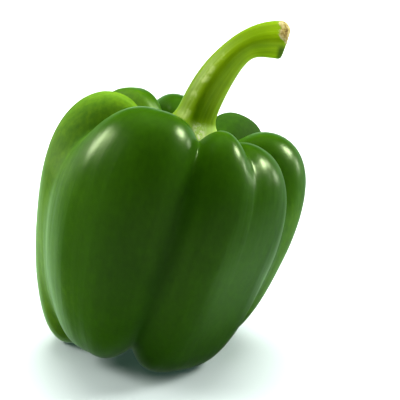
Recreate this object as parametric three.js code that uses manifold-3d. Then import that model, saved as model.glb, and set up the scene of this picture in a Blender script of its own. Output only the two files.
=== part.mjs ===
import * as THREE from "three";
import Module from "manifold-3d";

// A green bell pepper with its stem, life size. Millimetres, +Z up, standing on its feet at z = 0.
// The whole pepper's box is centred on x = y = 0, and its front is the -Y side.

// The fruit leans towards +X by this many degrees.
const LEAN = 16;
// Where the middle of the fruit's base stands, so that the whole pepper is centred.
const BASE_X = -13.9;
const BASE_Y = -0.44;
const BASE_Z = 2.65;

// Side view of a full lobe, from the middle of the crown to the middle of the base: [radius, height].
const LOBE_OUTLINE = [
  [0, 72], [7, 72], [13, 72], [16, 78], [23, 84], [34, 82.5], [41.5, 72], [43.5, 56],
  [41.5, 38], [37, 19], [29, 3], [20, -2.5], [12, 3], [6, 9], [0, 10],
];
// The same for the bottom of a full furrow between two lobes.
const FURROW_OUTLINE = [
  [0, 72], [7, 72], [13, 72], [17, 72.5], [22, 73], [28, 71.5], [34, 64.5], [37.5, 52],
  [37, 36], [32, 21], [25, 11], [17, 8], [11, 9], [6, 9.5], [0, 10],
];
// Height of the flat seat that the stem stands on, in the middle of the crown.
const SEAT_HEIGHT = 72;

// Lobes round the fruit. angle is in degrees from +X, width is the spread of the change in degrees.
// reach moves the lobe outwards at crown, flank and foot; rise lifts its crown; drop lowers its foot.
const LOBES = [
  { angle: -118, width: 28, reach: [1.0, 1.0, -2.0], rise: 3.6, drop: 0.8 },
  { angle: -75, width: 20, reach: [0.0, 0.0, 2.0], rise: 3.8, drop: 0.3 },
  { angle: -38, width: 22, reach: [-2.2, -2.2, 4.4], rise: -1.5, drop: -2.2 },
  { angle: 12, width: 24, reach: [1.8, 1.7, 4.5], rise: -0.6, drop: -4.0 },
  { angle: 50, width: 22, reach: [1.5, -0.6, 0.5], rise: -2.2, drop: -1.2 },
  { angle: 96, width: 22, reach: [0.0, 0.0, 0.0], rise: -2.0, drop: 3.4 },
  { angle: 136, width: 18, reach: [0.0, 0.0, 0.0], rise: -1.2, drop: 2.0 },
  { angle: 172, width: 24, reach: [0.0, 1.2, 2.2], rise: -1.8, drop: 8.0 },
];

// Furrows between the lobes, in order round the fruit. angle drifts from the first value at the crown to
// the second at the base; width is the reach to the lower and the higher angle; depth is at the crown,
// the flank and the foot, 1 for a full furrow; crease is the softness of its bottom at these three;
// columns is the number of facets up to the next furrow.
const FURROWS = [
  {
    angle: [-152, -168], width: [24, 34], depth: [1.0, 0.8, 0.8], crease: [0.05, 0.26, 0.16], columns: 17,
  },
  {
    angle: [-83, -93], width: [34, 32], depth: [0.85, 0.85, 0.8], crease: [0.05, 0.08, 0.05], columns: 8,
  },
  {
    angle: [-55, -52], width: [20, 20], depth: [0.38, 0.08, 0.06], crease: [0.08, 0.3, 0.3], columns: 11,
  },
  {
    angle: [-12, -16], width: [30, 28], depth: [1.0, 0.85, 0.85], crease: [0.05, 0.12, 0.1], columns: 11,
  },
  {
    angle: [34, 40], width: [26, 22], depth: [0.8, 0.4, 0.3], crease: [0.05, 0.2, 0.15], columns: 10,
  },
  {
    angle: [76, 84], width: [24, 22], depth: [1.0, 0.9, 0.95], crease: [0.05, 0.15, 0.1], columns: 9,
  },
  {
    angle: [117, 118], width: [18, 16], depth: [0.8, 0.3, 0.3], crease: [0.05, 0.2, 0.15], columns: 7,
  },
  {
    angle: [152, 152], width: [16, 18], depth: [0.8, 0.4, 0.3], crease: [0.05, 0.2, 0.15], columns: 11,
  },
];
// Sharpness of the furrows' sides at crown, flank and foot.
const SIDES = [3.0, 2.6, 2.8];
// Radius at which a lobe's reach is measured.
const GIRTH_RADIUS = 40;
const FRUIT_ROWS = 64;
// Share by which the facets close up towards the furrows.
const COLUMN_CROWDING = 0.5;

// Middle line of the stem from the seat, one point every PATH_STEP along it: [x, z].
const PATH_STEP = 6.6;
const STEM_PATH = [
  [0, 0], [1.8, 6.3], [3.9, 12.4], [6.6, 18.2], [10.0, 23.9], [14.2, 29.4], [19.3, 33.9],
  [25.6, 35.3], [32.2, 34.9], [38.8, 34.3],
];
// Side of the calyx and the stem, straightened: [radius, distance along the middle line].
const STEM_OUTLINE = [
  [0, 0.35], [5, 0.35], [9.5, 0.45], [11.4, 1.2], [12.0, 2.1], [11.3, 3.1], [10.2, 4.4], [8.8, 6.4],
  [7.4, 8.6], [6.3, 11.2], [6.2, 15], [6.0, 20], [5.7, 25.5], [5.1, 31], [4.5, 36.5], [4.7, 41],
  [5.6, 45.5], [6.0, 49.5], [6.1, 51.4], [5.5, 52.5], [3.2, 52.0], [1.5, 51.2], [0, 51.0],
];
// Points round the rim of the calyx and ridges round the stem: their number, their height as a share of
// the radius, and how far the first is turned from the upper side, in degrees of one wave.
const CALYX_POINTS = { count: 6, height: 0.05, turn: 34 };
const STEM_RIDGES = { count: 5, height: 0.035, turn: 17 };
// How much further the upper edge of the cut end reaches than its middle, and the radius this is measured at.
const CUT_SLANT = 1.5;
const CUT_RADIUS = 6.5;
// Share of the radius by which the upper edge of the cut has shrunk in drying.
const DRIED_EDGE = 0.4;
const STEM_ROWS = 44;
const STEM_COLUMNS = 40;

const { degToRad, euclideanModulo, smoothstep, lerp } = THREE.MathUtils;

// Weight of a control point that lies this many steps away, on a uniform cubic B-spline.
function splineWeight(steps) {
  const away = Math.abs(steps);
  return (Math.max(2 - away, 0) ** 3 - 4 * Math.max(1 - away, 0) ** 3) / 6;
}

// Sum of control points weighted for a place counted in steps from the second point.
function splinePoint(points, place) {
  const sum = [0, 0];
  points.forEach((point, i) => {
    const weight = splineWeight(place - (i - 1));
    sum[0] += weight * point[0];
    sum[1] += weight * point[1];
  });
  return sum;
}

// Point at a share of an outline whose two ends lie on the axis, where it is mirrored.
function outlinePoint(outline, share) {
  const last = outline.length - 1;
  const mirrored = (point) => [-point[0], point[1]];
  const points = [mirrored(outline[1]), ...outline, mirrored(outline[last - 1])];
  return splinePoint(points, share * last);
}

// Shares of crown, flank and foot at a share of the way from crown to base.
function levelsAt(share) {
  const crown = 1 - smoothstep(share, 0.3, 0.55);
  const foot = smoothstep(share, 0.55, 0.78);
  return [crown, 1 - crown - foot, foot];
}

function blend(values, levels) {
  return values[0] * levels[0] + values[1] * levels[1] + values[2] * levels[2];
}

// Difference between two angles in degrees, from -180 to 180.
function turnBetween(angle, from) {
  return euclideanModulo(angle - from + 180, 360) - 180;
}

// Point of the fruit's skin at an angle in degrees and a share of the way from crown to base.
function skinPoint(angle, share) {
  const levels = levelsAt(share);
  const [lobeRadius, lobeHeight] = outlinePoint(LOBE_OUTLINE, share);
  const [furrowRadius, furrowHeight] = outlinePoint(FURROW_OUTLINE, share);
  const sides = blend(SIDES, levels);
  let dip = 0;
  for (const furrow of FURROWS) {
    const away = turnBetween(angle, lerp(furrow.angle[0], furrow.angle[1], share));
    const across = away < 0 ? -away / furrow.width[0] : away / furrow.width[1];
    const distance = Math.hypot(across, blend(furrow.crease, levels));
    const valley = Math.max(1 - distance, 0) ** sides;
    dip += valley * blend(furrow.depth, levels);
  }
  let reach = 0;
  let rise = 0;
  let drop = 0;
  for (const lobe of LOBES) {
    const turn = degToRad(angle - lobe.angle);
    const near = Math.exp((Math.cos(turn) - 1) / degToRad(lobe.width) ** 2);
    reach += near * blend(lobe.reach, levels);
    rise += near * lobe.rise;
    drop += near * lobe.drop;
  }
  const crownShare = smoothstep(share, 0.1, 0.25) * levels[0];
  const footShare = levels[2] * (1 - smoothstep(share, 0.85, 1));
  const radius = lerp(lobeRadius, furrowRadius, dip) * (1 + reach / GIRTH_RADIUS);
  const height = lerp(lobeHeight, furrowHeight, dip) + rise * crownShare - drop * footShare;
  const turn = degToRad(angle);
  return stand(new THREE.Vector3(radius * Math.cos(turn), radius * Math.sin(turn), height));
}

// Leans a point of the upright fruit and moves it to where the fruit stands.
function stand(point) {
  point.applyAxisAngle(new THREE.Vector3(0, 1, 0), degToRad(LEAN));
  return point.add(new THREE.Vector3(BASE_X, BASE_Y, BASE_Z));
}

// Centre and directions of the stem's cross-section at a distance along its middle line.
function stemSection(distance) {
  const last = STEM_PATH.length - 1;
  const before = [-STEM_PATH[1][0], -STEM_PATH[1][1]];
  const after = [0, 1].map((k) => 2 * STEM_PATH[last][k] - STEM_PATH[last - 1][k]);
  const points = [before, ...STEM_PATH, after];
  const place = distance / PATH_STEP;
  const nudge = 0.01;
  const [x, z] = splinePoint(points, place);
  const [nextX, nextZ] = splinePoint(points, place + nudge);
  const along = new THREE.Vector3(nextX - x, 0, nextZ - z).normalize();
  const side = new THREE.Vector3(0, 1, 0);
  const up = new THREE.Vector3().crossVectors(along, side);
  return { centre: new THREE.Vector3(x, 0, z), side, up };
}

// Factor on a radius for waves that run round the stem, at a share of their full height.
function waves(kind, share, turn) {
  return 1 + kind.height * share * Math.cos(kind.count * turn + degToRad(kind.turn));
}

// Point of the stem at an angle in degrees from its upper side and a share of the way from seat to cut end.
function stemPoint(angle, share) {
  const turn = degToRad(angle);
  const [plainRadius, plainDistance] = outlinePoint(STEM_OUTLINE, share);
  const rim = smoothstep(share, 0.06, 0.14) * (1 - smoothstep(share, 0.2, 0.3));
  const shaft = smoothstep(share, 0.3, 0.4);
  const end = smoothstep(share, 0.72, 0.86);
  const slant = (end * CUT_SLANT * Math.cos(turn) * plainRadius) / CUT_RADIUS;
  const dried = DRIED_EDGE * smoothstep(share, 0.78, 0.87) * Math.max(Math.cos(turn), 0);
  const waved = plainRadius * waves(CALYX_POINTS, rim, turn) * waves(STEM_RIDGES, shaft, turn);
  const radius = waved * (1 - dried);
  const section = stemSection(plainDistance + slant);
  return section.centre
    .addScaledVector(section.up, radius * Math.cos(turn))
    .addScaledVector(section.side, radius * Math.sin(turn))
    .add(stand(new THREE.Vector3(0, 0, SEAT_HEIGHT)));
}

// Closed surface round an axis from rings of points, with one point at each end.
// pointAt takes a column and a row.
function closedSurface(columns, rows, pointAt) {
  const positions = [];
  const faces = [];
  positions.push(...pointAt(0, 0).toArray());
  for (let row = 1; row < rows; row += 1) {
    for (let column = 0; column < columns; column += 1) {
      positions.push(...pointAt(column, row).toArray());
    }
  }
  positions.push(...pointAt(0, rows).toArray());
  const lastPoint = positions.length / 3 - 1;
  const ringPoint = (column, row) => 1 + (row - 1) * columns + (column % columns);
  for (let column = 0; column < columns; column += 1) {
    faces.push(0, ringPoint(column, 1), ringPoint(column + 1, 1));
    for (let row = 1; row < rows - 1; row += 1) {
      const a = ringPoint(column, row);
      const b = ringPoint(column + 1, row);
      const c = ringPoint(column + 1, row + 1);
      const d = ringPoint(column, row + 1);
      faces.push(a, d, c);
      faces.push(a, c, b);
    }
    faces.push(ringPoint(column, rows - 1), lastPoint, ringPoint(column + 1, rows - 1));
  }
  return { positions: new Float32Array(positions), faces: new Uint32Array(faces) };
}

// Angle of each column of the fruit, which follow the furrows down.
function columnAngles(share) {
  const angles = [];
  FURROWS.forEach((furrow, i) => {
    const start = lerp(furrow.angle[0], furrow.angle[1], share);
    const next = FURROWS[(i + 1) % FURROWS.length];
    const span = euclideanModulo(lerp(next.angle[0], next.angle[1], share) - start, 360);
    for (let k = 0; k < furrow.columns; k += 1) {
      const part = k / furrow.columns;
      const crowded = part - (COLUMN_CROWDING * Math.sin(2 * Math.PI * part)) / (2 * Math.PI);
      angles.push(start + span * crowded);
    }
  });
  return angles;
}

const wasm = await Module();
wasm.setup();

function meshOf(name, solid, colour, roughness) {
  const { vertProperties, triVerts } = solid.getMesh();
  const geometry = new THREE.BufferGeometry();
  geometry.setAttribute("position", new THREE.BufferAttribute(vertProperties, 3));
  geometry.setIndex(new THREE.BufferAttribute(triVerts, 1));
  geometry.computeVertexNormals();
  const material = new THREE.MeshStandardMaterial({ color: colour, roughness, metalness: 0 });
  const mesh = new THREE.Mesh(geometry, material);
  mesh.name = name;
  return mesh;
}

function solidOf(surface) {
  const { positions, faces } = surface;
  return new wasm.Manifold(
    new wasm.Mesh({ numProp: 3, vertProperties: positions, triVerts: faces }),
  );
}

// The fruit: one hollow berry in nature, a full solid here, cut flat where its feet meet the ground.
const fruitColumns = FURROWS.reduce((sum, furrow) => sum + furrow.columns, 0);
const fruitSurface = closedSurface(
  fruitColumns,
  FRUIT_ROWS,
  (column, row) => skinPoint(columnAngles(row / FRUIT_ROWS)[column], row / FRUIT_ROWS),
);
const fruit = meshOf("fruit", solidOf(fruitSurface).trimByPlane([0, 0, 1], 0), 0x2f5c14, 0.3);

// The stem with its calyx: one fleshy piece that stands just clear of the seat in the crown.
const stemSurface = closedSurface(
  STEM_COLUMNS,
  STEM_ROWS,
  (column, row) => stemPoint((360 * column) / STEM_COLUMNS, row / STEM_ROWS),
);
const stem = meshOf("stem", solidOf(stemSurface), 0x76a015, 0.5);

const group = new THREE.Group();
group.name = "bell_pepper";
group.add(fruit, stem);

export default group;
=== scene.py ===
import math

import bpy
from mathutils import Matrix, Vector


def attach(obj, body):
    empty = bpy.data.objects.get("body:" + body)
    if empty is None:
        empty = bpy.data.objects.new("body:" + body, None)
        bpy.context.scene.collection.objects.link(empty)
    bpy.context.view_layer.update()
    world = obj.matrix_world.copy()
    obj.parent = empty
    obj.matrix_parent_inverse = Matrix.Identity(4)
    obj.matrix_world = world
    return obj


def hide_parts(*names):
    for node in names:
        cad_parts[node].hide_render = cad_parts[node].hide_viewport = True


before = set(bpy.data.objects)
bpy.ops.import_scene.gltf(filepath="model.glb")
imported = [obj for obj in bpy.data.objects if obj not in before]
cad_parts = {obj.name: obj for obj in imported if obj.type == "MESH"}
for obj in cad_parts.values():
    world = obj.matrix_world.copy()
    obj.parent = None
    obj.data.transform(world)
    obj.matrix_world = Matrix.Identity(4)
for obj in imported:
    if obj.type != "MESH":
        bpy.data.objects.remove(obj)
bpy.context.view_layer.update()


# The fruit: one hollow berry with a smooth waxy skin, grown in lobes that furrows part.
# Its whole surface follows one rule round a leaning axis: the side view of a full lobe sinks into that of
# a full furrow, and each lobe has its own reach, rise and drop. It stands on flat spots under its feet.

MM = 0.001
LEAN = 16
BASE = (-13.9 * MM, -0.44 * MM, 2.65 * MM)
# Side views of the upright fruit, as distance from its axis and height in millimetres, from the stem down.
LOBE_OUTLINE = [
    (0, 72), (7, 72), (13, 72), (16, 78), (23, 84), (34, 82.5), (41.5, 72), (43.5, 56),
    (41.5, 38), (37, 19), (29, 3), (20, -2.5), (12, 3), (6, 9), (0, 10),
]
FURROW_OUTLINE = [
    (0, 72), (7, 72), (13, 72), (17, 72.5), (22, 73), (28, 71.5), (34, 64.5), (37.5, 52),
    (37, 36), (32, 21), (25, 11), (17, 8), (11, 9), (6, 9.5), (0, 10),
]
# Each lobe has an angle and a width, in degrees. Its reach, in millimetres, is how far it swells at its
# crown, flank and foot. Its crown is higher by its rise and its foot lower by its drop.
LOBES = [
    {"angle": -118, "width": 28, "reach": (1.0, 1.0, -2.0), "rise": 3.6, "drop": 0.8},
    {"angle": -75, "width": 20, "reach": (0.0, 0.0, 2.0), "rise": 3.8, "drop": 0.3},
    {"angle": -38, "width": 22, "reach": (-2.2, -2.2, 4.4), "rise": -1.5, "drop": -2.2},
    {"angle": 12, "width": 24, "reach": (1.8, 1.7, 4.5), "rise": -0.6, "drop": -4.0},
    {"angle": 50, "width": 22, "reach": (1.5, -0.6, 0.5), "rise": -2.2, "drop": -1.2},
    {"angle": 96, "width": 22, "reach": (0.0, 0.0, 0.0), "rise": -2.0, "drop": 3.4},
    {"angle": 136, "width": 18, "reach": (0.0, 0.0, 0.0), "rise": -1.2, "drop": 2.0},
    {"angle": 172, "width": 24, "reach": (0.0, 1.2, 2.2), "rise": -1.8, "drop": 8.0},
]
# Each furrow has an angle at the top and one at the bottom, a width to each side, and at its crown, flank and
# foot a depth and a roundness of its crease. Its columns lead up to the next furrow.
FURROWS = [
    {
        "angle": (-152, -168), "width": (24, 34), "columns": 17,
        "depth": (1.0, 0.8, 0.8), "crease": (0.05, 0.26, 0.16),
    },
    {
        "angle": (-83, -93), "width": (34, 32), "columns": 8,
        "depth": (0.85, 0.85, 0.8), "crease": (0.05, 0.08, 0.05),
    },
    {
        "angle": (-55, -52), "width": (20, 20), "columns": 11,
        "depth": (0.38, 0.08, 0.06), "crease": (0.08, 0.3, 0.3),
    },
    {
        "angle": (-12, -16), "width": (30, 28), "columns": 11,
        "depth": (1.0, 0.85, 0.85), "crease": (0.05, 0.12, 0.1),
    },
    {
        "angle": (34, 40), "width": (26, 22), "columns": 10,
        "depth": (0.8, 0.4, 0.3), "crease": (0.05, 0.2, 0.15),
    },
    {
        "angle": (76, 84), "width": (24, 22), "columns": 9,
        "depth": (1.0, 0.9, 0.95), "crease": (0.05, 0.15, 0.1),
    },
    {
        "angle": (117, 118), "width": (18, 16), "columns": 7,
        "depth": (0.8, 0.3, 0.3), "crease": (0.05, 0.2, 0.15),
    },
    {
        "angle": (152, 152), "width": (16, 18), "columns": 11,
        "depth": (0.8, 0.4, 0.3), "crease": (0.05, 0.2, 0.15),
    },
]
# How steep the sides of a furrow are at the crown, the flank and the foot.
SIDES = (3.0, 2.6, 2.8)
GIRTH_RADIUS = 40 * MM
# Shares of the way down the side view: where the crown passes into the flank and the flank into the foot,
# and where the unevenness of the flesh starts and ends.
CROWN_PASSES = (0.3, 0.55)
FOOT_PASSES = (0.55, 0.78)
UNEVEN_FROM = (0.22, 0.4)
UNEVEN_TO = (0.8, 0.92)
UNEVENNESS = 1.2 * MM
FRUIT_ROWS = 240
FRUIT_FINENESS = 4
COLUMN_CROWDING = 0.5
MERGE_DISTANCE = 1e-6

# Skin colours; the ripe yellow-green also paints light on the top left and the sun side.
SKIN_DARK = (0.008, 0.038, 0.0004)
SKIN_GREEN = (0.034, 0.112, 0.0004)
SKIN_RIPE_AND_LIT = (0.24, 0.42, 0.001)
WAXY_ROUGHNESS = 0.288
DULL_ROUGHNESS = 0.6


class Field:
    """A node's output, used in sums as a plain number, vector or colour is."""

    def __init__(self, nodes, socket):
        self.nodes = nodes
        self.socket = socket

    def __add__(self, other):
        return self.nodes.sum("ADD", self, other)

    def __radd__(self, other):
        return self.nodes.sum("ADD", other, self)

    def __sub__(self, other):
        return self.nodes.sum("SUBTRACT", self, other)

    def __rsub__(self, other):
        return self.nodes.sum("SUBTRACT", other, self)

    def __mul__(self, other):
        return self.nodes.sum("MULTIPLY", self, other)

    def __rmul__(self, other):
        return self.nodes.sum("MULTIPLY", other, self)

    def __truediv__(self, other):
        return self.nodes.sum("DIVIDE", self, other)

    def __pow__(self, other):
        return self.nodes.sum("POWER", self, other)

    def __abs__(self):
        return self.nodes.sum("ABSOLUTE", self)


class Nodes:
    """A node tree that is being built."""

    def __init__(self, tree):
        self.tree = tree

    def add(self, kind, inputs=(), output=0, stops=(), **settings):
        """A new node with its settings, its inputs by name or number and a ramp's stops. Gives an output."""
        node = self.tree.nodes.new(kind)
        for name, value in settings.items():
            setattr(node, name, value)
        for number, (place, colour) in enumerate(stops):
            ramp = node.color_ramp.elements
            stop = ramp[number] if number < len(ramp) else ramp.new(place)
            stop.position = place
            stop.color = (*colour, 1)
        for name, value in dict(inputs).items():
            socket = node.inputs[name]
            if isinstance(value, Field):
                self.tree.links.new(value.socket, socket)
            elif socket.type == "VECTOR" and not isinstance(value, tuple):
                socket.default_value = (value, value, value)
            elif socket.type == "RGBA":
                socket.default_value = (*value, 1)
            else:
                socket.default_value = value
        return Field(self, node.outputs[output])

    def sum(self, operation, *values):
        """One step of maths on numbers, or on vectors if one of the values is a vector."""
        tuples = any(isinstance(value, tuple) for value in values)
        vectors = any(isinstance(value, Field) and value.socket.type == "VECTOR" for value in values)
        kind = "ShaderNodeVectorMath" if tuples or vectors else "ShaderNodeMath"
        return self.add(kind, enumerate(values), operation=operation)

    def dot(self, vector, other):
        return self.add("ShaderNodeVectorMath", {0: vector, 1: other}, output=1, operation="DOT_PRODUCT")

    def vector(self, x, y, z):
        return self.add("ShaderNodeCombineXYZ", {"X": x, "Y": y, "Z": z})

    def axes(self, vector):
        """The three numbers of a vector."""
        return [self.add("ShaderNodeSeparateXYZ", {0: vector}, output=axis) for axis in range(3)]

    def smooth(self, value, low, high):
        """0 below low, 1 above high, and a smooth step between them."""
        limits = {"Value": value, "From Min": low, "From Max": high}
        return self.add("ShaderNodeMapRange", limits, interpolation_type="SMOOTHSTEP")

    def mix(self, share, start, end):
        return start + (end - start) * share

    def paint(self, share, start, end):
        """The colour between start and end at this share of the way."""
        return self.add("ShaderNodeMix", {0: share, 6: start, 7: end}, output=2, data_type="RGBA")

    def noise(self, place, scale, detail=2.0, roughness=0.5):
        """Soft random values round 0.5."""
        inputs = {"Vector": place, "Scale": scale, "Detail": detail, "Roughness": roughness}
        return self.add("ShaderNodeTexNoise", inputs)


def spline_weights(nodes, count, place):
    """Weight of each control point of an even, smooth curve, for a place in steps from the second point."""
    weights = []
    for number in range(count):
        away = abs(place - (number - 1))
        wide = nodes.sum("MAXIMUM", 2 - away, 0) ** 3
        narrow = nodes.sum("MAXIMUM", 1 - away, 0) ** 3
        weights.append((wide - narrow * 4) / 6)
    return weights


def weighted_point(weights, points):
    """The weighted sum of points given as x and z."""
    total = weights[0] * (points[0][0], 0, points[0][1])
    for weight, (x, z) in zip(weights[1:], points[1:]):
        total = total + weight * (x, 0, z)
    return total


def mirrored_ends(outline):
    """An outline that ends on the axis, in metres, with a mirrored point more beyond each end."""
    points = [(-outline[1][0], outline[1][1]), *outline, (-outline[-2][0], outline[-2][1])]
    return [(radius * MM, height * MM) for radius, height in points]


def new_tree(name, sizes):
    """A geometry tree with named inputs, whole numbers or not as in sizes."""
    tree = bpy.data.node_groups.new(name, "GeometryNodeTree")
    tree.interface.new_socket("Geometry", in_out="OUTPUT", socket_type="NodeSocketGeometry")
    for label, size in sizes.items():
        kind = "NodeSocketInt" if isinstance(size, int) else "NodeSocketFloat"
        tree.interface.new_socket(label, in_out="INPUT", socket_type=kind)
    nodes = Nodes(tree)
    entry = tree.nodes.new("NodeGroupInput")
    return nodes, {label: Field(nodes, entry.outputs[label]) for label in sizes}


def closed_skin(nodes, columns, rows, place, material, marks):
    """Ends a tree: a grid laid out by a rule and closed at its seam and poles, with marks for the paint."""
    mesh = nodes.add("GeometryNodeMeshGrid", {
        "Size X": 1.0, "Size Y": 1.0, "Vertices X": columns + 1, "Vertices Y": rows + 1,
    })
    for label, (kind, value) in marks.items():
        inputs = {"Geometry": mesh, "Name": label, "Value": value}
        mesh = nodes.add("GeometryNodeStoreNamedAttribute", inputs, data_type=kind)
    mesh = nodes.add("GeometryNodeSetPosition", {"Geometry": mesh, "Position": place})
    mesh = nodes.add("GeometryNodeMergeByDistance", {"Geometry": mesh, "Distance": MERGE_DISTANCE})
    mesh = nodes.add("GeometryNodeSetShadeSmooth", {0: mesh})
    mesh = nodes.add("GeometryNodeRealizeInstances", {0: mesh})
    mesh = nodes.add("GeometryNodeSetMaterial", {"Geometry": mesh, "Material": material})
    exit_node = nodes.tree.nodes.new("NodeGroupOutput")
    nodes.tree.links.new(mesh.socket, exit_node.inputs[0])


def grow(name, nodes, sizes):
    """Runs a tree with these sizes and keeps what it makes as a plain mesh."""
    piece = bpy.data.objects.new(name, bpy.data.meshes.new(name))
    bpy.context.scene.collection.objects.link(piece)
    modifier = piece.modifiers.new(name, "NODES")
    modifier.node_group = nodes.tree
    for item in nodes.tree.interface.items_tree:
        if item.in_out == "INPUT":
            modifier[item.identifier] = sizes[item.name]
    graph = bpy.context.evaluated_depsgraph_get()
    mesh = bpy.data.meshes.new_from_object(piece.evaluated_get(graph))
    piece.modifiers.remove(modifier)
    piece.data = mesh
    return piece


def fruit_tree(material):
    """The rule of the fruit's skin."""
    nodes, size = new_tree("fruit_skin", {"Rows": 1, "Fineness": 1, "Lean": 1.0, "Unevenness": 1.0})
    columns_at_crown = sum(furrow["columns"] for furrow in FURROWS)
    across, down, _ = nodes.axes(nodes.add("GeometryNodeInputPosition"))
    share = down + 0.5
    column = (across + 0.5) * columns_at_crown

    # The columns of the grid run down the furrows, closer together beside them.
    angle = FURROWS[0]["angle"][0] + share * (FURROWS[0]["angle"][1] - FURROWS[0]["angle"][0])
    first = 0
    for furrow, following in zip(FURROWS, FURROWS[1:] + FURROWS[:1]):
        spans = [(after - before) % 360 for before, after in zip(furrow["angle"], following["angle"])]
        part = nodes.add("ShaderNodeClamp", {"Value": (column - first) / furrow["columns"]})
        wave = nodes.sum("SINE", part * math.tau)
        crowded = part - wave * (COLUMN_CROWDING / math.tau)
        angle = angle + crowded * nodes.mix(share, spans[0], spans[1])
        first += furrow["columns"]

    # Shares of crown, flank and foot at this height.
    crown = 1 - nodes.smooth(share, *CROWN_PASSES)
    foot = nodes.smooth(share, *FOOT_PASSES)
    levels = nodes.vector(crown, 1 - crown - foot, foot)
    sides = nodes.dot(levels, SIDES)

    # How deep the place lies in the furrows round it.
    dip = 0.0
    for furrow in FURROWS:
        centre = furrow["angle"][0] + share * (furrow["angle"][1] - furrow["angle"][0])
        away = nodes.sum("WRAP", angle - centre, 180.0, -180.0)
        left, right = furrow["width"]
        reach = nodes.sum("MAXIMUM", away / right, away / -left)
        crease = nodes.dot(levels, furrow["crease"])
        distance = nodes.sum("SQRT", reach * reach + crease * crease)
        valley = nodes.sum("MAXIMUM", 1 - distance, 0.0) ** sides
        dip = dip + valley * nodes.dot(levels, furrow["depth"])

    # What the lobes near the place add.
    reach = rise = drop = 0.0
    for lobe in LOBES:
        turn = (angle - lobe["angle"]) * math.radians(1)
        near = nodes.sum("EXPONENT", (nodes.sum("COSINE", turn) - 1) / math.radians(lobe["width"]) ** 2)
        reach = reach + near * nodes.dot(levels, lobe["reach"])
        rise = rise + near * lobe["rise"]
        drop = drop + near * lobe["drop"]

    weights = spline_weights(nodes, len(LOBE_OUTLINE) + 2, share * (len(LOBE_OUTLINE) - 1))
    lobe_point = weighted_point(weights, mirrored_ends(LOBE_OUTLINE))
    furrow_point = weighted_point(weights, mirrored_ends(FURROW_OUTLINE))
    radius, _, height = nodes.axes(nodes.mix(dip, lobe_point, furrow_point))

    turn = angle * math.radians(1)
    round_x = nodes.sum("COSINE", turn)
    round_y = nodes.sum("SINE", turn)
    lengthwise = nodes.vector(round_x, round_y, share)
    # The flesh is never quite even: shallow swells and dimples, longer than they are wide.
    body = nodes.smooth(share, *UNEVEN_FROM) * (1 - nodes.smooth(share, *UNEVEN_TO))
    swell = nodes.noise(lengthwise, 3.2, 2.0) - 0.5
    uneven = swell * body * size["Unevenness"]
    crown_lift = nodes.smooth(share, 0.1, 0.25) * crown
    foot_drop = foot * (1 - nodes.smooth(share, 0.85, 1.0))
    radius = radius * (1 + reach * (MM / GIRTH_RADIUS)) + uneven
    height = height + (rise * crown_lift - drop * foot_drop) * MM

    # The upright fruit leans to +X, and where its feet would sink into the ground they are flat.
    x = radius * round_x
    y = radius * round_y
    lean_cos = nodes.sum("COSINE", size["Lean"])
    lean_sin = nodes.sum("SINE", size["Lean"])
    stand_x = x * lean_cos + height * lean_sin + BASE[0]
    stand_z = nodes.sum("MAXIMUM", height * lean_cos - x * lean_sin + BASE[2], 0.0)
    place = nodes.vector(stand_x, y + BASE[1], stand_z)
    marks = {"dip": ("FLOAT", dip), "lengthwise": ("FLOAT_VECTOR", lengthwise)}
    columns = size["Fineness"] * columns_at_crown
    closed_skin(nodes, columns, size["Rows"], place, material, marks)
    return nodes


def new_material(name):
    """An empty material, its nodes and its surface shader."""
    material = bpy.data.materials.new(name)
    material.use_nodes = True
    nodes = Nodes(material.node_tree)
    shader = next(node for node in material.node_tree.nodes if node.type == "BSDF_PRINCIPLED")
    return material, nodes, shader


def feed(nodes, shader, **inputs):
    """Sets or links a shader's inputs, named with spaces as underscores."""
    for name, value in inputs.items():
        socket = shader.inputs[name.replace("_", " ")]
        if isinstance(value, Field):
            nodes.tree.links.new(value.socket, socket)
        else:
            socket.default_value = value


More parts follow.
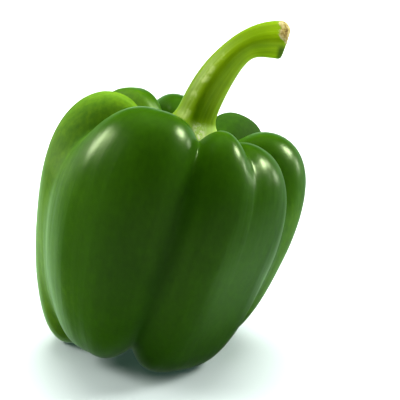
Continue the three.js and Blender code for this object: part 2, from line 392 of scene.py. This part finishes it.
def skin_material():
    """Waxy dark green skin, yellower on shoulders and sun side, painted light and shade, patches and mottle.
    """
    material, nodes, shader = new_material("green_skin")
    place = nodes.add("ShaderNodeTexCoord", output=3)
    lengthwise = nodes.add("ShaderNodeAttribute", output=1, attribute_name="lengthwise")
    dip = nodes.add("ShaderNodeAttribute", output=2, attribute_name="dip")
    x, y, _ = nodes.axes(place)
    turn_x, turn_y, share = nodes.axes(lengthwise)
    patches = nodes.noise(place, 28.0, 3.0) - 0.5
    streaks = nodes.noise(lengthwise * (22.0, 22.0, 4.0), 1.0, 3.0) - 0.5
    mottle = nodes.noise(place * (1.0, 1.0, 0.6), 650.0, 3.0, 0.6) - 0.5

    # Ripeness and painted light: yellower on the shoulders and on the side that faced the sun, the latter
    # partly painted light; painted light on the top left; painted shade at the back and in the furrows;
    # lighter on the right flank.
    shoulder = 1 - nodes.smooth(share, 0.18, 0.45)
    flank = nodes.smooth(share, 0.35, 0.48)
    # Painted light: lighter on the top left and, in part, on the side that faced the sun.
    lit_top_left = shoulder * nodes.smooth(x * -1.0, -0.01, 0.03)
    sunny_and_lit_side = nodes.smooth(x * -1.0 + y * 0.5, -0.01, 0.05)
    right_flank = nodes.smooth(turn_x, 0.8, 1.0) * flank
    # Painted shade: darker at the back and in the furrows of the flank.
    back = nodes.smooth(y, 0.005, 0.02)
    furrow = nodes.smooth(dip, 0.45, 0.7) * flank
    ripe_and_painted_light = shoulder * 0.25 + lit_top_left * 0.4 + sunny_and_lit_side * 0.58 + right_flank * 0.35
    ripe_and_painted_light = ripe_and_painted_light - back * 0.22 - furrow * 0.2
    ripe_and_painted_light = ripe_and_painted_light + patches * 0.4 + streaks * 0.15 + mottle * 0.4
    green = nodes.paint(nodes.smooth(ripe_and_painted_light, -0.4, 0.6), SKIN_DARK, SKIN_GREEN)
    green = nodes.paint(nodes.smooth(ripe_and_painted_light, 0.2, 1.4), green, SKIN_RIPE_AND_LIT)

    # The wax is duller on the crown of two lobes, the one at the far left and the one behind on the right.
    left_lobe = nodes.smooth(turn_x * -1.0, 0.7, 0.92)
    right_lobe = nodes.smooth(turn_x * 0.64 + turn_y * 0.77, 0.85, 0.97)
    dull = (left_lobe + right_lobe) * (1 - nodes.smooth(share, 0.42, 0.55))
    roughness = WAXY_ROUGHNESS + dull * DULL_ROUGHNESS + patches * 0.016

    pores = nodes.noise(place, 900.0)
    ripples = nodes.noise(lengthwise * (11.0, 11.0, 2.0), 1.0, 2.0, 0.4)
    height = pores * 0.06 + ripples * 0.7 * flank
    relief = nodes.add("ShaderNodeBump", {"Strength": 1.0, "Distance": 0.0003, "Height": height})
    feed(nodes, shader, Base_Color=green, Roughness=roughness, Normal=relief)
    feed(nodes, shader, Specular_IOR_Level=0.5, Specular_Tint=(0.75, 1.0, 0.4, 1.0))
    feed(nodes, shader, Subsurface_Weight=0.08, Subsurface_Radius=(0.6, 1.0, 0.2), Subsurface_Scale=0.003)
    return material


fruit = grow("pepper_fruit", fruit_tree(skin_material()), {
    "Rows": FRUIT_ROWS, "Fineness": FRUIT_FINENESS, "Lean": math.radians(LEAN), "Unevenness": UNEVENNESS,
})
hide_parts("fruit")
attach(fruit, "root")


# The stem: a fleshy stalk with low ridges, flared into a small calyx that sits in the crown.
# It grows with the fruit, bends over to +X and ends in a cut that has dried ragged.

# The seat of the calyx lies on the fruit's axis, and the stem's middle line starts there. The line's points
# are x and z from the seat in millimetres, a step apart.
SEAT_HEIGHT = 72 * MM
PATH_STEP = 6.6 * MM
STEM_PATH = [
    (0, 0), (1.8, 6.3), (3.9, 12.4), (6.6, 18.2), (10.0, 23.9), (14.2, 29.4), (19.3, 33.9),
    (25.6, 35.3), (32.2, 34.9), (38.8, 34.3),
]
# The straightened stem's radius and distance from the seat in millimetres: calyx, stalk, then the cut end.
STEM_OUTLINE = [
    (0, 0.35), (5, 0.35), (9.5, 0.45), (11.4, 1.2), (12.0, 2.1), (11.3, 3.1), (10.2, 4.4), (8.8, 6.4),
    (7.4, 8.6), (6.3, 11.2), (6.2, 15), (6.0, 20), (5.7, 25.5), (5.1, 31), (4.5, 36.5), (4.7, 41),
    (5.6, 45.5), (6.0, 49.5), (6.1, 51.4), (5.5, 52.5), (3.2, 52.0), (1.5, 51.2), (0, 51.0),
]
CALYX_POINTS = {"count": 6, "height": 0.05, "turn": 34}
STEM_RIDGES = {"count": 5, "height": 0.035, "turn": 17}
CUT_SLANT = 1.5 * MM
CUT_RADIUS = 6.5 * MM
DRIED_EDGE = 0.4
FIBRE_DEPTH = 0.05
RAGGEDNESS = 1.2 * MM
STEM_ROWS = 260
STEM_COLUMNS = 180

FLESH_DARK = (0.07, 0.16, 0.0004)
FLESH_GREEN = (0.2, 0.36, 0.0006)
FLESH_PALE = (0.4, 0.6, 0.004)
PAINTED_TOP_SHADE = (0.09, 0.17, 0.0003)
THIN_LINES = (0.06, 0.12, 0.001)
PAINTED_RIDGE_GLINTS = (0.5, 0.62, 0.2)
CALYX_PALE = (0.48, 0.7, 0.16)
COLLAR_CRUST = (0.75, 0.78, 0.5)
LIP_GREEN = (0.03, 0.09, 0.002)
DRY_FLESH = [(0.36, (0.08, 0.04, 0.01)), (0.47, (0.28, 0.22, 0.06)), (0.65, (0.5, 0.46, 0.22))]


def stem_tree(material):
    """The rule of the stem's skin: rings that follow a bent middle line."""
    nodes, size = new_tree("stem_skin", {"Rows": 1, "Columns": 1, "Ragged": 1.0})
    across, along_share, _ = nodes.axes(nodes.add("GeometryNodeInputPosition"))
    share = along_share + 0.5
    turn = (across + 0.5) * math.tau
    up_share = nodes.sum("COSINE", turn)
    side_share = nodes.sum("SINE", turn)

    weights = spline_weights(nodes, len(STEM_OUTLINE) + 2, share * (len(STEM_OUTLINE) - 1))
    radius, _, distance = nodes.axes(weighted_point(weights, mirrored_ends(STEM_OUTLINE)))

    def waves(kind, strength):
        """The share by which the section swells and shrinks round the stem."""
        wave = nodes.sum("COSINE", turn * kind["count"] + math.radians(kind["turn"]))
        return 1 + wave * strength * kind["height"]

    rim = nodes.smooth(share, 0.06, 0.14) * (1 - nodes.smooth(share, 0.2, 0.3))
    shaft = nodes.smooth(share, 0.3, 0.4)
    end = nodes.smooth(share, 0.72, 0.86)
    slant = end * up_share * radius * (CUT_SLANT / CUT_RADIUS)
    lengthwise = nodes.vector(up_share, side_share, distance)
    fibres = nodes.noise(lengthwise * (5.0, 5.0, 40.0), 1.0, 3.0) - 0.5
    dried = nodes.smooth(share, 0.78, 0.87) * nodes.sum("MAXIMUM", up_share, 0.0) * DRIED_EDGE
    radius = radius * waves(CALYX_POINTS, rim) * waves(STEM_RIDGES, shaft) * (1 - dried)
    radius = radius * (1 + fibres * shaft * FIBRE_DEPTH)

    # The cut end has dried and torn unevenly.
    cut = nodes.smooth(share, 0.86, 0.92)
    section = nodes.vector(up_share * radius, side_share * radius, 0.0)
    torn = nodes.noise(section, 420.0, 3.0, 0.6) - 0.5
    distance = distance + slant + torn * cut * size["Ragged"]

    points = [(x * MM, z * MM) for x, z in STEM_PATH]
    before = (-points[1][0], -points[1][1])
    after = tuple(2 * last - earlier for last, earlier in zip(points[-1], points[-2]))
    line = [before, *points, after]
    step = distance / PATH_STEP
    middle = weighted_point(spline_weights(nodes, len(line), step), line)
    ahead = weighted_point(spline_weights(nodes, len(line), step + 0.02), line)
    forward = nodes.sum("NORMALIZE", ahead - middle)
    side = (0.0, 1.0, 0.0)
    upward = nodes.sum("CROSS_PRODUCT", forward, side)
    lean = math.radians(LEAN)
    seat = (SEAT_HEIGHT * math.sin(lean) + BASE[0], BASE[1], SEAT_HEIGHT * math.cos(lean) + BASE[2])
    place = middle + upward * (radius * up_share) + nodes.vector(0.0, radius * side_share, 0.0) + seat
    marks = {"lengthwise": ("FLOAT_VECTOR", lengthwise), "share": ("FLOAT", share)}
    closed_skin(nodes, size["Columns"], size["Rows"], place, material, marks)
    return nodes


def stem_material():
    """Fleshy yellow-green stalk, paler at the calyx, with dark fibres and a dry tan cut."""
    material, nodes, shader = new_material("stem_flesh")
    place = nodes.add("ShaderNodeTexCoord", output=3)
    lengthwise = nodes.add("ShaderNodeAttribute", output=1, attribute_name="lengthwise")
    share = nodes.add("ShaderNodeAttribute", output=2, attribute_name="share")
    up_share, _, distance = nodes.axes(lengthwise)
    streaks = nodes.noise(lengthwise * (5.0, 5.0, 45.0), 1.0, 3.0) - 0.5
    fine_lines = nodes.noise(lengthwise * (18.0, 18.0, 60.0), 1.0, 3.0, 0.6)
    blotches = nodes.noise(place, 110.0, 3.0) - 0.5

    # The stalk: streaks, a shaded trough and a lit ridge along its middle, and fine lines near its tip.
    tip = nodes.smooth(distance, 0.02, 0.05)
    trough = 1 - nodes.smooth(abs(up_share + 0.05), 0.1, 0.5)
    ridge = 1 - nodes.smooth(abs(up_share - 0.6), 0.05, 0.3)
    middle = nodes.smooth(distance, 0.006, 0.016) * (1 - nodes.smooth(distance, 0.03, 0.045))
    tone = 0.56 + streaks * 0.4 + blotches * 0.4 + (ridge * 0.15 - trough * 0.08) * middle
    green = nodes.paint(nodes.smooth(tone, 0.0, 0.6), FLESH_DARK, FLESH_GREEN)
    green = nodes.paint(nodes.smooth(tone, 0.4, 1.0), green, FLESH_PALE)
    # Painted shade: darker on the stalk's upper side.
    green = nodes.paint(nodes.smooth(up_share, -0.2, 0.8) * 0.6, green, PAINTED_TOP_SHADE)
    green = nodes.paint(nodes.smooth(fine_lines, 0.58, 0.72) * tip * 0.5, green, THIN_LINES)
    # Painted highlights: pale soft glints in spots along the ridge.
    spots = nodes.smooth(nodes.noise(place, 260.0, 3.0), 0.5, 0.7)
    green = nodes.paint(ridge * middle * spots * 0.6, green, PAINTED_RIDGE_GLINTS)

    # The calyx: pale on the side that the stalk bends towards, with a crust beside that.
    calyx = 1 - nodes.smooth(distance + blotches * 0.003, 0.0085, 0.0105)
    calyx = calyx * (1 - nodes.smooth(up_share, -0.1, 0.5))
    green = nodes.paint(calyx * 0.6, green, CALYX_PALE)
    crust = nodes.smooth(nodes.noise(place, 700.0, 4.0, 0.7), 0.45, 0.6)
    collar = 1 - nodes.smooth(distance + blotches * 0.004, 0.0085, 0.0105)
    collar = collar * nodes.smooth(up_share, -0.6, -0.3) * (1 - nodes.smooth(up_share, -0.1, 0.2))
    green = nodes.paint(collar * crust * 0.8, green, COLLAR_CRUST)

    # The cut end: a dark lip below it, then dry flesh that starts further from the end on the upper side.
    lip = nodes.smooth(share, 0.765, 0.8) * (1 - nodes.smooth(up_share + blotches * 0.4, -0.35, 0.05))
    green = nodes.paint(lip * 0.85, green, LIP_GREEN)
    torn = nodes.noise(place, 500.0, 4.0, 0.65)
    dry_from = 0.865 - nodes.smooth(up_share, -0.3, 0.5) * 0.095
    cut = nodes.smooth(share + (torn - 0.5) * 0.06, dry_from, dry_from + 0.015)
    dry = nodes.add("ShaderNodeValToRGB", {"Fac": torn}, stops=DRY_FLESH)
    colour = nodes.paint(cut, green, dry)

    roughness = 0.4 + cut * 0.4 + collar * 0.2 + blotches * 0.15
    height = streaks * 0.5 + nodes.noise(place, 400.0, 3.0) * (0.3 + cut * 1.5 + collar)
    relief = nodes.add("ShaderNodeBump", {"Strength": 0.3, "Distance": 0.0005, "Height": height})
    feed(nodes, shader, Base_Color=colour, Roughness=roughness, Normal=relief)
    feed(nodes, shader, Specular_IOR_Level=0.22, Specular_Tint=(0.9, 1.0, 0.35, 1.0))
    feed(nodes, shader, Subsurface_Weight=0.1, Subsurface_Radius=(0.7, 1.0, 0.2), Subsurface_Scale=0.003)
    return material


stem = grow("pepper_stem", stem_tree(stem_material()), {
    "Rows": STEM_ROWS, "Columns": STEM_COLUMNS, "Ragged": RAGGEDNESS,
})
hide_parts("stem")
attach(stem, "root")


# The ground: a pale studio table under the pepper, which fades into the white all round it.
# It isn't part of the pepper.

GROUND_SIZE = 1.4
FADE_START = 0.3
FADE_END = 0.6
SHADOWED_NEAR_GROUND = (0.63, 0.7, 0.68)
FAR_GROUND = (0.82, 0.88, 0.87)


def ground_material():
    """Pale matt table top, greyer round the pepper as a painted shadow, that turns clear towards its edge."""
    material, nodes, shader = new_material("pale_ground")
    x, y, _ = nodes.axes(nodes.add("ShaderNodeTexCoord", output=3))
    level = nodes.sum("SQRT", x * x + y * y)
    far = nodes.smooth(level, FADE_START, FADE_END)
    # Painted shadow: greyer close round the pepper.
    colour = nodes.paint(nodes.smooth(level, 0.035, 0.1), SHADOWED_NEAR_GROUND, FAR_GROUND)
    feed(nodes, shader, Base_Color=colour, Roughness=0.45, Specular_IOR_Level=0.3)
    # Painted light: a faint green glow that lifts the shade under the pepper.
    feed(nodes, shader, Emission_Color=(0.022, 0.044, 0.034, 1), Emission_Strength=1.0)
    clear = nodes.add("ShaderNodeBsdfTransparent")
    surface = Field(nodes, shader.outputs[0])
    surface = nodes.add("ShaderNodeMixShader", {0: far, 1: surface, 2: clear})
    exit_node = next(node for node in nodes.tree.nodes if node.type == "OUTPUT_MATERIAL")
    nodes.tree.links.new(surface.socket, exit_node.inputs["Surface"])
    return material


bpy.ops.mesh.primitive_plane_add(size=GROUND_SIZE)
ground = bpy.context.object
ground.name = "ground"
ground.data.materials.append(ground_material())
ground.visible_glossy = False

# Painted shade: a black sheet, seen only in the skin's reflections, for the pepper's own shade on the ground
# right under it.
SHADE_RADIUS = 0.062
SHADE_MIDDLE = (0.004, -0.002, -0.0005)
SHADE_STRENGTH = 0.85


def shade_material():
    """Black, and clearer towards its edge."""
    material, nodes, shader = new_material("dark_shade")
    x, y, _ = nodes.axes(nodes.add("ShaderNodeTexCoord", output=3))
    level = nodes.sum("SQRT", x * x + y * y)
    feed(nodes, shader, Base_Color=(0, 0, 0, 1), Specular_IOR_Level=0.0)
    outer = nodes.smooth(level, SHADE_RADIUS * 0.45, SHADE_RADIUS)
    feed(nodes, shader, Alpha=SHADE_STRENGTH - outer * SHADE_STRENGTH)
    return material


bpy.ops.mesh.primitive_plane_add(size=SHADE_RADIUS * 2, location=SHADE_MIDDLE)
shade = bpy.context.object
shade.name = "shade"
shade.data.materials.append(shade_material())
shade.visible_camera = False
shade.visible_diffuse = False
shade.visible_transmission = False
shade.visible_shadow = False


# The light: soft boxes at the left and the right whose mirror images are the highlights on the skin, a big
# one behind and above, and two weak washes, in a room whose pale lower half shines on the sides of the skin.

AIM = (0.0, 0.0, 0.05)


def soft_box(name, place, aim, width, height, power):
    """A rectangular soft box that faces a point."""
    light = bpy.data.lights.new(name, "AREA")
    light.shape = "RECTANGLE"
    light.size = width
    light.size_y = height
    light.energy = power
    lamp = bpy.data.objects.new(name, light)
    lamp.location = place
    lamp.rotation_euler = (Vector(aim) - Vector(place)).to_track_quat("-Z", "Y").to_euler()
    bpy.context.scene.collection.objects.link(lamp)
    return lamp


def towards(azimuth, rise, distance):
    """Place at a distance from the pepper. Azimuth 0 is the front and 90 the right, in degrees."""
    turn, lift = math.radians(azimuth), math.radians(rise)
    level = distance * math.cos(lift)
    return (level * math.sin(turn), -level * math.cos(turn), AIM[2] + distance * math.sin(lift))


soft_box("left_box", towards(-99, 30, 1.0), AIM, 0.32, 0.42, 8.4)
soft_box("right_box", towards(102, 35, 1.0), AIM, 0.24, 0.32, 10.0)
soft_box("low_right_box", towards(109, 8, 1.0), AIM, 0.14, 0.2, 1.3)
back_box = soft_box("back_box", towards(168, 68, 1.3), AIM, 1.2, 1.0, 38)
back_box.visible_glossy = False
left_wash = soft_box("left_wash", towards(-125, 35, 1.2), AIM, 0.8, 0.8, 4.5)
left_wash.visible_glossy = False
front_wash = soft_box("front_wash", towards(10, 60, 1.4), AIM, 1.0, 0.8, 4)
front_wash.visible_glossy = False

# The room: pale low down at both sides and behind, faint elsewhere, and plain white to the camera.
world = bpy.data.worlds.new("studio")
bpy.context.scene.world = world
world.use_nodes = True
room = Nodes(world.node_tree)
background = world.node_tree.nodes["Background"]
x, y, z = room.axes(room.add("ShaderNodeTexCoord", output=0))
level = room.sum("SQRT", x * x + y * y)
ahead = y * -1.0 / (level + 0.001)
right = room.smooth(x, -0.1, 0.1)
forward = ahead + z * 0.9
right_front = 0.5 + room.smooth(forward, -1.1, -0.7) * 0.5
right_side = right * (1 - room.smooth(forward, -0.4, -0.1)) * right_front
left_side = (1 - right) * (1 - room.smooth(ahead + z * 0.3, -0.9, -0.45))
behind = 1 - room.smooth(ahead, -0.95, -0.75)
low = 1 - room.smooth(z, 0.0, 0.35)
under = room.smooth(z * -1.0, 0.4, 0.8)
bounce = 0.015 + low * (right_side * (0.55 + under * 0.6) + left_side + behind * 0.5)
seen = room.add("ShaderNodeLightPath", output=0)
strength = bounce + seen * 1.3
colour = room.paint(seen, (0.62, 1.0, 0.62), (1.0, 1.0, 1.0))
room.tree.links.new(strength.socket, background.inputs["Strength"])
room.tree.links.new(colour.socket, background.inputs["Color"])


# The camera: the photograph's view, a little from above, from the -Y side.

VIEW_DISTANCE = 450 * MM
VIEW_ELEVATION = 19
VIEW_AIM = Vector((10.1 * MM, -0.44 * MM, 52.65 * MM))
FRAME_WIDTH = 400
FOCAL_PIXELS = 1350
elevation = math.radians(VIEW_ELEVATION)
camera_data = bpy.data.cameras.new("camera")
camera_data.sensor_width = 36
camera_data.lens = camera_data.sensor_width * FOCAL_PIXELS / FRAME_WIDTH
camera = bpy.data.objects.new("camera", camera_data)
camera.location = VIEW_AIM + VIEW_DISTANCE * Vector((0, -math.cos(elevation), math.sin(elevation)))
camera.rotation_euler = (math.radians(90) - elevation, 0, 0)
bpy.context.scene.collection.objects.link(camera)
bpy.context.scene.camera = camera
bpy.context.scene.view_settings.view_transform = "Standard"
